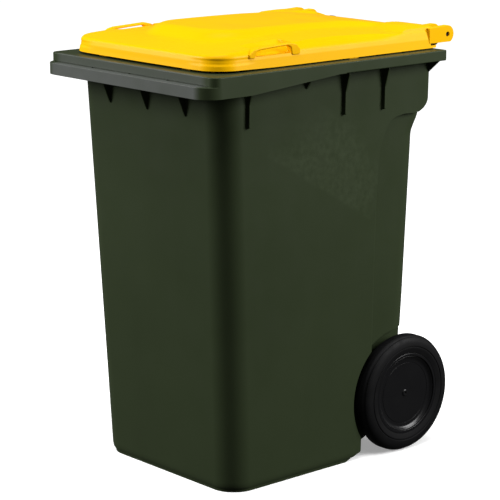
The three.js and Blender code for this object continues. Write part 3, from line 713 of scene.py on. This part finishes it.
LID_SIDE_EDGE = [(-760, 1058), (-719, 1060), (-626, 1065), (-470, 1070.5), (-357, 1073), (-212, 1069.5),
                 (-112, 1064), (30, 1062)]
CROWN_TOP = [(-760, 1094), (-583, 1095.6), (-440, 1096), (-300, 1094.6), (-230, 1092.5), (30, 1088)]
POD_RISE = [(-170, 1040), (-135, 1056), (-112, 1071), (-90, 1080), (-66, 1082.5), (-42, 1081), (-14, 1077.5),
            (30, 1071)]
LID_EDGE_RISE = [(0, 1023), (2.2, 1045), (4.6, 1054), (8, 1059.5), (13, 1064.5), (22, 1072), (40, 1110)]
LID_FRONT_LIFT = 2.5
SHOULDER_WIDTH = 145
LID_WALL_TOP = 1054
LID_ROOF_STEPS = [5.6, 6.8, 8, 9.5, 11, 13, 15, 17.5, 20, 23, 27, 32, 38,
                  *between(44, 92, 8), *between(96, 152, 18), *between(158, 275, 15)]
GROOVE_Z = 1044.5
GROOVE_HALF_HEIGHT = 9
GROOVE_DEPTH = 1.6
GROOVE_FROM_X = 170
GROOVE_BACK_Y = -606
SCOOP = {"inner": 204, "bar": (260, 276.5), "front": -598, "window": -486, "back": -470, "sill": 1051,
         "ramp_top": 1077}


def lid_outline(inset):
    """Points round the lid, evenly enough spaced for its slow curves."""
    w = LID_HALF_WIDTH - inset
    front = LID_FRONT + inset
    back = LID_BACK - inset
    r = LID_CORNER - inset
    if inset > 20:
        r = LID_CORNER - 20 + (CROWN_CORNER - LID_CORNER + 20) * smooth_step((inset - 20) / 80)
    r = min(r, w * 0.9, (back - front) * 0.45)
    rb = min(max(3, LID_BACK_CORNER - inset), w * 0.9)
    bowed = [(x, front - LID_BOW * (1 - (x / w) ** 2)) for x in between(0, w - r, 18)]
    right = bowed[:-1] + arc(w - r, front + r, r, -90, 0, 18)
    right += [(w, y) for y in between(front + r, back - rb, 60)[1:-1]]
    right += arc(w - rb, back - rb, rb, 0, 90, 5)
    right += [(x, back) for x in between(w - rb, 0, 30)[1:]]
    return right + [(-x, y) for x, y in reversed(right[1:-1])]


def lid_roof(x, y):
    """Height of the lid's top: a shoulder round a raised crown, and a hump over each hinge lug."""
    x = abs(x)
    side = flowing(LID_SIDE_EDGE, y) + 0.085 * min(LID_HALF_WIDTH - x, SHOULDER_WIDTH)
    front = LID_FRONT_EDGE + 0.12 * (y - LID_FRONT)
    beside = max(0, x - CROWN_HALF_WIDTH + CROWN_CORNER)
    before = max(0, CROWN_FRONT + CROWN_CORNER - y)
    outside = soft_max(0, math.hypot(beside, before) - CROWN_CORNER, 16)
    crown = flowing(CROWN_TOP, y) - 0.78 * outside
    rear = LID_BACK_EDGE + 0.13 * (LID_BACK - y)
    roof = soft_min(rear, soft_max(soft_min(side, front, 4), crown, 9), 4)
    outward = POD_TOP + 1 - 0.19 * max(0, x - 215)
    inward = POD_TOP + 1 - 1.6 * max(0, POD_INNER + 6 - x)
    pod = soft_min(soft_min(flowing(POD_RISE, y), outward, 5), inward, 5)
    return soft_max(roof, pod, 7)


def groove_at(x, y, z):
    """How far the wall is pressed in by the groove round each front corner."""
    across = 1 - ((z - GROOVE_Z) / GROOVE_HALF_HEIGHT) ** 2
    if across <= 0:
        return 0
    reach = smooth_step((abs(x) - GROOVE_FROM_X) / 60) * smooth_step((GROOVE_BACK_Y - y) / 14)
    return GROOVE_DEPTH * reach * smooth_step(across)


def lid_solid(inset, bottom):
    """The space under the lid's skin, drawn in from it by inset."""
    rings = []
    for z in [bottom, LID_BOTTOM + 1.5, 1029, *between(1034, LID_WALL_TOP, 13)]:
        draw = along([(h, d) for d, h in LID_EDGE_RISE], z)
        ring = []
        for x, y in lid_outline(inset + draw):
            pressed = groove_at(x, y, z)
            lift = LID_FRONT_LIFT * smooth_step((-y - 520) / 180) * max(0, 1034 - z) / (1034 - LID_BOTTOM)
            pushed = pressed if y < LID_FRONT / 2 else 0
            ring.append((x * (1 - pressed / LID_HALF_WIDTH), y + pushed, z + lift))
        rings.append(ring)
    for step in LID_ROOF_STEPS:
        ring = []
        for x, y in lid_outline(min(inset + step, LID_HALF_WIDTH - 0.6)):
            tight = 0.32 + 0.68 * smooth_step((-y - 90) / 130)
            rise = flowing(LID_EDGE_RISE, 5 + (step - 5) / tight)
            ring.append((x, y, max(LID_WALL_TOP + 0.4, soft_min(lid_roof(x, y), rise, 3)) - inset))
        rings.append(ring)
    return loft(rings)


def lug(x):
    disc = bar(LUG_RADIUS, x, HINGE_Y, HINGE_Z, edge=1.5, count=72)
    arm = prism([(-30, 1034.5), (HINGE_Y - 4, HINGE_Z - 21.6), (HINGE_Y + 3, HINGE_Z + 21.8),
                 (-14, POD_OUTER_TOP + 1), (-30, POD_OUTER_TOP)], "X", *x, edge=1.2)
    return union(disc, arm)


def pod_tail():
    """The hump's tail: a short hood between the lid's back edge and the hinge pin's head."""
    hood = prism(fillet([(-30, 1046), (-30, 1078), (-14, 1077), (12, 1071), (31, 1065), (36, 1058),
                         (36, 1050), (2, 1046)], 5), "X", POD_INNER + 2, POD_TAIL_TO, edge=2)
    hollow = prism([(-40, 1040), (-40, 1074), (-15, 1073), (11, 1067), (28, 1061), (32.5, 1056),
                    (32.5, 1040)], "X", POD_INNER + 2 + LID_WALL, POD_TAIL_TO - LID_WALL)
    return cut(hood, hollow)


def grip_ramp(drop, bevel, outer, front, back):
    """The sloping floor behind the lifting bar and all that is above it, lowered by drop."""
    top_edge = SCOOP["inner"] - 2 * drop
    floor = SCOOP["sill"] - drop
    foot = SCOOP["bar"][0] - 3
    outline = [(top_edge, SCOOP["ramp_top"]), (foot, floor), (outer, floor), (outer, 1200), (top_edge, 1200)]
    if outer <= foot:
        outline = [(top_edge, SCOOP["ramp_top"]), (foot, floor), (foot, 1200), (top_edge, 1200)]
    return prism(outline, "Y", front, back, edge=bevel)


def grip_scoop():
    window = grip_ramp(0, 4, 400, SCOOP["front"], SCOOP["window"])
    recess = grip_ramp(0, 4, 0, SCOOP["window"] - 12, SCOOP["back"])
    return union(window, recess)


def grip_bar():
    front, back, sill = SCOOP["front"], SCOOP["window"], SCOOP["sill"]
    outline = [(front - 20, sill - 3), (front - 4, sill - 3), (front + 5, sill + 11),
               (front + 16, sill + 14.5), (back - 14, sill + 18.5), (back - 4, sill + 14.5),
               (back, sill - 5), (back + 26, sill - 5), (back + 26, sill + 8),
               (back + 15, sill + 20), (back - 4, sill + 24.5), (front + 12, sill + 20.5),
               (front - 4, sill + 17), (front - 20, sill + 6)]
    return prism(fillet(outline, 6), "X", *SCOOP["bar"], edge=2.8)


def lid():
    shell = lid_solid(0, LID_BOTTOM)
    pocket = both_sides(grip_ramp(LID_WALL, 0, 400, SCOOP["front"] - LID_WALL, SCOOP["back"] + LID_WALL))
    hollow = cut(lid_solid(LID_WALL, LID_BOTTOM - 20), pocket)
    lugs = both_sides(union(lug(LUG_OUTER), lug(LUG_INNER)))
    stop_z = (RIM_TOP + GAP, LID_BOTTOM + 8)
    stops = [both_sides(block((140, 170), (LID_FRONT + 13, LID_FRONT + 19), stop_z)),
             both_sides(block((140, 170), (LID_FRONT + 2, LID_FRONT + 18), (LID_BOTTOM + 5, LID_BOTTOM + 8))),
             both_sides(block((LID_HALF_WIDTH - 9, LID_HALF_WIDTH - 3), (-300, -270), stop_z))]
    whole = union(cut(shell, hollow), lugs, both_sides(pod_tail()), *stops)
    whole = union(cut(whole, both_sides(grip_scoop())), both_sides(grip_bar()))
    passages = [both_sides(block((LUG_INNER[1], LUG_OUTER[0]), (-60, 60), (900, 1066))),
                both_sides(block((EAR[0] - 6, EAR[1] + 6), (-60, 60), (900, 1066))),
                both_sides(block((LUG_INNER[1], LUG_OUTER[0]), (LID_BACK - 4, 80), (900, 1200))),
                block((-LUG_INNER[0], LUG_INNER[0]), (-8, 60), (900, 1032)),
                both_sides(block((LUG_OUTER[0] - 20, 400), (-24, 80), (1029, 1034))),
                both_sides(bar(PIN_HOLE, (200, 300), HINGE_Y, HINGE_Z))]
    return cut(whole, *passages)


finished(lid(), "domed_lid", "lid", YELLOW, ["lid"])

# ---- wheels ---------------------------------------------------------------------------------------

SEAT = 104
RING_INNER = 97
BOSS = 24
BOSS_X = (219, 261)
WEB_X = (239, 245)
LOCK_X = 252
TOWER_RADIUS = 8.8
TOWER_TOP = 46
CHAMBER_RADIUS = 6.3
CHAMBER_FROM = 26
COVER_FACE = 266


def to_wheel(obj, side):
    """Moves a piece drawn about the X axis to the right wheel's place, or turned about to the left's."""
    turn = Matrix.Rotation(0 if side == "right" else math.pi, 4, "Z")
    obj.data.transform(Matrix.Translation((0, WHEEL_Y, WHEEL_Z)) @ turn)
    return obj


def tyre():
    a, b, r = WHEEL_INNER, WHEEL_OUTER, WHEEL_RADIUS
    side = [(0.0, 116), (0.2, 119), (1.6, 120), (1.6, 122), (0.1, 123.2), (0.6, 131), (2.4, 138), (6, 144),
            (8.4, 144.6), (9.4, 143.9), (10.6, 144.6), (12.5, 147.8), (17, r)]
    outer = [(b - d, radius) for d, radius in side]
    inner = [(a + d, radius) for d, radius in reversed(side)]
    seat = [(a + 3, SEAT + GAP), (a + 19, SEAT + GAP), (a + 21, SEAT + 3 + GAP), (a + 29, SEAT + 3 + GAP),
            (a + 31, SEAT + GAP), (b - 3, SEAT + GAP)]
    return turned(seat + outer + inner, 128)


def wheel_rim():
    a, b = WHEEL_INNER + 3, WHEEL_OUTER - 3
    ring = turned(fillet([(a, RING_INNER), (b, RING_INNER), (b, SEAT), (a + 28, SEAT), (a + 26, SEAT + 3),
                          (a + 18, SEAT + 3), (a + 16, SEAT), (a, SEAT)], 1.2, 3))
    web = turned([(WEB_X[0], 10), (WEB_X[1], 10), (WEB_X[1], RING_INNER + 2), (WEB_X[0], RING_INNER + 2)])
    boss = turned(fillet([(BOSS_X[0], 8), (BOSS_X[1], 8), (BOSS_X[1], BOSS), (BOSS_X[0], BOSS)], 1.2, 3), 72)
    spokes = []
    for i in range(6):
        spoke = block((WEB_X[0] - 7, WEB_X[0] + 1), (-3, 3), (BOSS - 4, RING_INNER + 2), edge=1)
        spoke.data.transform(Matrix.Rotation(math.radians(30 + 60 * i), 4, "X"))
        spokes.append(spoke)
    tower = post(TOWER_RADIUS, LOCK_X, 0, (BOSS - 8, TOWER_TOP), edge=0.6)
    bush_bore = bar(17, (BOSS_X[0] - 5, 243.3), 0, 0)
    axle_bore = bar(AXLE_RADIUS + GAP, (BOSS_X[0] - 1, BOSS_X[1] + 10), 0, 0)
    plunger_bore = post(4.4, LOCK_X, 0, (6, TOWER_TOP))
    chamber = post(CHAMBER_RADIUS, LOCK_X, 0, (CHAMBER_FROM, TOWER_TOP + 5))
    return cut(union(ring, web, boss, tower, *spokes), bush_bore, axle_bore, plunger_bore, chamber)


def hub_cover():
    """The recessed disc: a raised edge ring, a flat face and a round nub with a pit at its middle."""
    edge = RING_INNER - GAP
    face = COVER_FACE
    nub = [(face, 9), (face + 1.6, 8.4), (face + 2.5, 6.8), (face + 2.7, 5), (face + 2.3, 3.4),
           (face + 0.5, 2.8), (face + 0.2, 0)]
    ring = [(face - 12, 92.5), (face - 12, edge), (face + 4.2, edge), (face + 5.2, edge - 0.6),
            (face + 5.5, edge - 1.6),
            (face + 4.6, edge - 3), (face + 2.4, edge - 5), (face + 0.8, edge - 8), (face, 86)]
    groove = [(face, 80), (face - 0.8, 79.3), (face - 0.8, 78.3), (face, 77.6)]
    return turned([(face - 3, 0), (face - 3, 88), *ring, *groove, *nub])


def axle():
    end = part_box("axle")[1].x / MM
    half = [(end, 0), (end, AXLE_RADIUS - 2), (end - 0.6, AXLE_RADIUS - 0.6), (end - 2, AXLE_RADIUS),
            (256.5, AXLE_RADIUS), (256.5, 9.5), (247.5, 9.5), (247.5, AXLE_RADIUS)]
    return turned(half + [(-x, r) for x, r in reversed(half)], 64)


def lid_pin():
    shank = bar(PIN_RADIUS, (LUG_INNER[0] - 2, LUG_OUTER[1] - 4), HINGE_Y, HINGE_Z, edge=0.7)
    head = bar(10, (LUG_INNER[0] - 6, LUG_INNER[0] - GAP), HINGE_Y, HINGE_Z, edge=1)
    return union(shank, head)


axle_piece = axle()
axle_piece.data.transform(Matrix.Translation((0, WHEEL_Y, WHEEL_Z)))
finished(axle_piece, "axle_bar", "bin", STEEL, ["axle"])

for side in ("left", "right"):
    wheel_body = f"wheel_{side}"
    finished(to_wheel(tyre(), side), f"tyre_{side}", wheel_body, RUBBER,
             [f"wheel_tyre_{side}"], 50)
    finished(to_wheel(wheel_rim(), side), f"rim_{side}", wheel_body, BLACK,
             [f"wheel_rim_{side}"])
    finished(to_wheel(hub_cover(), side), f"cover_{side}", wheel_body, BLACK,
             [f"hub_cover_{side}"])
    pin = lid_pin()
    if side == "left":
        pin.data.transform(Matrix.Scale(-1, 4, (1, 0, 0)))
        pin.data.flip_normals()
    finished(pin, f"hinge_pin_{side}", "bin", BLACK, [f"lid_pin_{side}"])
    dressed(f"wheel_bush_{side}", NYLON)
    dressed(f"axle_spacer_{side}", NYLON)
    dressed(f"lock_plunger_{side}", STEEL)
    dressed(f"lock_spring_{side}", STEEL)
    dressed(f"lock_cap_{side}", BLACK)
dressed("chip_nest_plug", BLACK)

# ---- stage, light and camera ----------------------------------------------------------------------


def stage_floor():
    half = 30
    floor = mesh_object("floor", [(-half, -half, 0), (half, -half, 0), (half, half, 0), (-half, half, 0)],
                        [(0, 1, 2, 3)])
    floor.data.materials.append(floor_material("pale_floor"))
    floor.visible_glossy = False
    floor.visible_diffuse = False


def softbox(name, place, target, width, height, power):
    light = bpy.data.lights.new(name, "AREA")
    light.shape = "RECTANGLE"
    light.size = width
    light.size_y = height
    light.energy = power
    obj = bpy.data.objects.new(name, light)
    obj.location = place
    obj.rotation_euler = (Vector(target) - Vector(place)).to_track_quat("-Z", "Y").to_euler()
    bpy.context.scene.collection.objects.link(obj)


def overhead(name, tilt, spread, strength):
    """A wide soft light from above, tilted about X and Y in degrees."""
    light = bpy.data.lights.new(name, "SUN")
    light.angle = math.radians(spread)
    light.energy = strength
    obj = bpy.data.objects.new(name, light)
    obj.rotation_euler = (math.radians(tilt[0]), math.radians(tilt[1]), 0)
    bpy.context.scene.collection.objects.link(obj)


def studio():
    world = bpy.data.worlds.new("studio")
    world.use_nodes = True
    nodes, links = world.node_tree.nodes, world.node_tree.links
    backdrop = nodes["Background"]
    backdrop.inputs["Color"].default_value = (0.07, 0.07, 0.07, 1)
    white = nodes.new("ShaderNodeBackground")
    white.inputs["Color"].default_value = (1, 1, 1, 1)
    choose = nodes.new("ShaderNodeMixShader")
    rays = nodes.new("ShaderNodeLightPath")
    links.new(rays.outputs["Is Camera Ray"], choose.inputs["Fac"])
    links.new(backdrop.outputs["Background"], choose.inputs[1])
    links.new(white.outputs["Background"], choose.inputs[2])
    links.new(choose.outputs["Shader"], nodes["World Output"].inputs["Surface"])
    bpy.context.scene.world = world
    middle = (0, 0, 0.6)
    overhead("sky", (8, 6), 50, 2.55)
    softbox("left", (-2.95, -3.6, 2.75), middle, 2.4, 2.6, 300)
    softbox("right", (3.75, 2.9, 2.75), middle, 2.4, 2.8, 300)


# The lens in millimetres, the view's angles in degrees, and the camera's place in metres with Y
# measured from the back edge of the rim.
CAMERA_LENS = 150.0
CAMERA_AZIMUTH = 48.576
CAMERA_ELEVATION = 12.861
CAMERA_PLACE = (3.8101, -3.7350, 1.6794)


def camera():
    data = bpy.data.cameras.new("camera")
    data.sensor_width = 36
    data.lens = CAMERA_LENS
    obj = bpy.data.objects.new("camera", data)
    azimuth, elevation = math.radians(CAMERA_AZIMUTH), math.radians(CAMERA_ELEVATION)
    back = Vector((math.sin(azimuth) * math.cos(elevation), -math.cos(azimuth) * math.cos(elevation),
                   math.sin(elevation)))
    obj.location = Vector(CAMERA_PLACE) + Vector((0, RIM_BACK_Y, 0))
    obj.rotation_euler = (-back).to_track_quat("-Z", "Y").to_euler()
    bpy.context.scene.collection.objects.link(obj)
    bpy.context.scene.camera = obj


stage_floor()
studio()
camera()
bpy.context.scene.view_settings.view_transform = "Standard"
